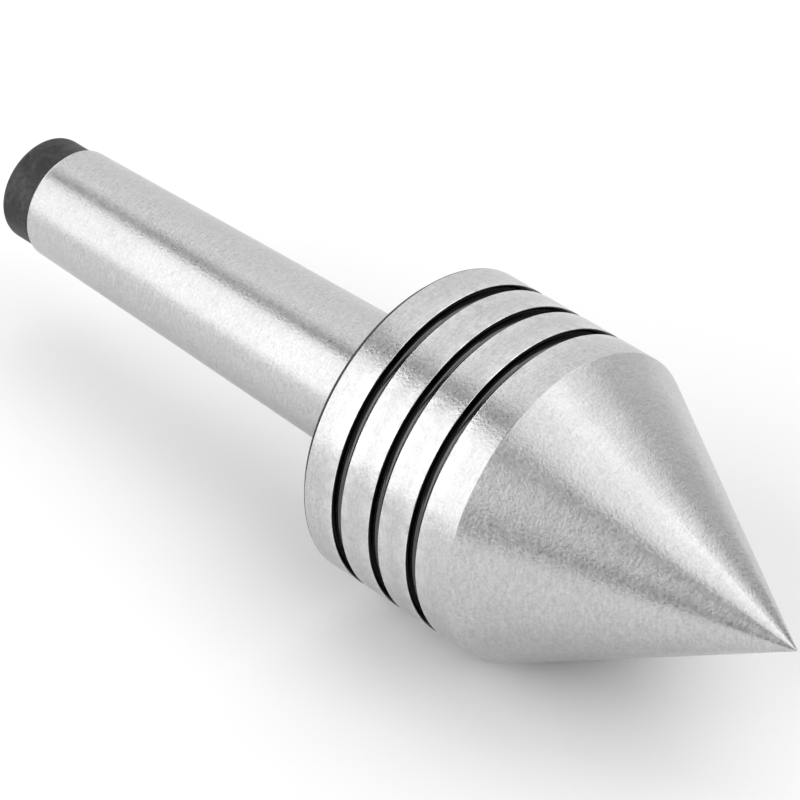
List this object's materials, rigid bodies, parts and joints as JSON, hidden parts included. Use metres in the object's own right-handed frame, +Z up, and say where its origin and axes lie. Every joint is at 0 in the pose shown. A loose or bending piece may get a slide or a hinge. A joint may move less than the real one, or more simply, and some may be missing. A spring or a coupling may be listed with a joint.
{
  "type": "live center",
  "caption": "Revolving tailstock centre: a grooved cylindrical head with a conical point turns freely on ball bearings at the end of a self-holding taper shank.",
  "frame": {"origin": "on the turning axis, at the gauge plane of the Morse taper, where the taper is 17.780 mm across", "axes": "+X along the turning axis towards the point, -X into the tailstock, +Z up with the axis lying level"},
  "size_m": [0.1267, 0.04, 0.04],
  "materials": {
    "ground_steel": "satin ground, fine rings round the axis",
    "black_oxide": "black oxide on unground steel",
    "bearing_steel": "polished bearing steel",
    "cage_steel": "pressed steel, dull",
    "spring_steel": "phosphated spring steel",
    "felt": "pressed wool felt, oiled"
  },
  "bodies": {
    "shank_body": {"shank": "ground_steel", "rear_circlip": "spring_steel", "front_circlip": "spring_steel", "rear_bearing_inner_race": "bearing_steel", "thrust_bearing_shaft_washer": "bearing_steel", "front_bearing_inner_race": "bearing_steel"},
    "head_body": {"cone_head": "ground_steel", "rear_cover": "black_oxide", "felt_seal": "felt", "rear_bearing_outer_race": "bearing_steel", "thrust_bearing_housing_washer": "bearing_steel", "front_bearing_outer_race": "bearing_steel"},
    "rear_ball_set": {"rear_bearing_cage": "cage_steel", "rear_bearing_ball_1": "bearing_steel", "rear_bearing_ball_2": "bearing_steel", "rear_bearing_ball_3": "bearing_steel", "rear_bearing_ball_4": "bearing_steel", "rear_bearing_ball_5": "bearing_steel", "rear_bearing_ball_6": "bearing_steel", "rear_bearing_ball_7": "bearing_steel", "rear_bearing_ball_8": "bearing_steel", "rear_bearing_ball_9": "bearing_steel"},
    "thrust_ball_set": {"thrust_bearing_cage": "cage_steel", "thrust_bearing_ball_1": "bearing_steel", "thrust_bearing_ball_2": "bearing_steel", "thrust_bearing_ball_3": "bearing_steel", "thrust_bearing_ball_4": "bearing_steel", "thrust_bearing_ball_5": "bearing_steel", "thrust_bearing_ball_6": "bearing_steel", "thrust_bearing_ball_7": "bearing_steel", "thrust_bearing_ball_8": "bearing_steel", "thrust_bearing_ball_9": "bearing_steel", "thrust_bearing_ball_10": "bearing_steel"},
    "front_ball_set": {"front_bearing_cage": "cage_steel", "front_bearing_ball_1": "bearing_steel", "front_bearing_ball_2": "bearing_steel", "front_bearing_ball_3": "bearing_steel", "front_bearing_ball_4": "bearing_steel", "front_bearing_ball_5": "bearing_steel", "front_bearing_ball_6": "bearing_steel", "front_bearing_ball_7": "bearing_steel"}
  },
  "joints": [
    {"name": "head_spin", "type": "hinge", "parent": "shank_body", "child": "head_body", "pos_m": [0, 0, 0], "axis": [1, 0, 0], "continuous": true},
    {"name": "rear_balls_orbit", "type": "hinge", "parent": "shank_body", "child": "rear_ball_set", "pos_m": [0, 0, 0], "axis": [1, 0, 0], "continuous": true},
    {"name": "thrust_balls_orbit", "type": "hinge", "parent": "shank_body", "child": "thrust_ball_set", "pos_m": [0, 0, 0], "axis": [1, 0, 0], "continuous": true},
    {"name": "front_balls_orbit", "type": "hinge", "parent": "shank_body", "child": "front_ball_set", "pos_m": [0, 0, 0], "axis": [1, 0, 0], "continuous": true}
  ],
  "couplings": [
    {"joint": "rear_balls_orbit", "follows": "head_spin", "ratio": 0.60134},
    {"joint": "thrust_balls_orbit", "follows": "head_spin", "ratio": 0.5},
    {"joint": "front_balls_orbit", "follows": "head_spin", "ratio": 0.6323}
  ]
}
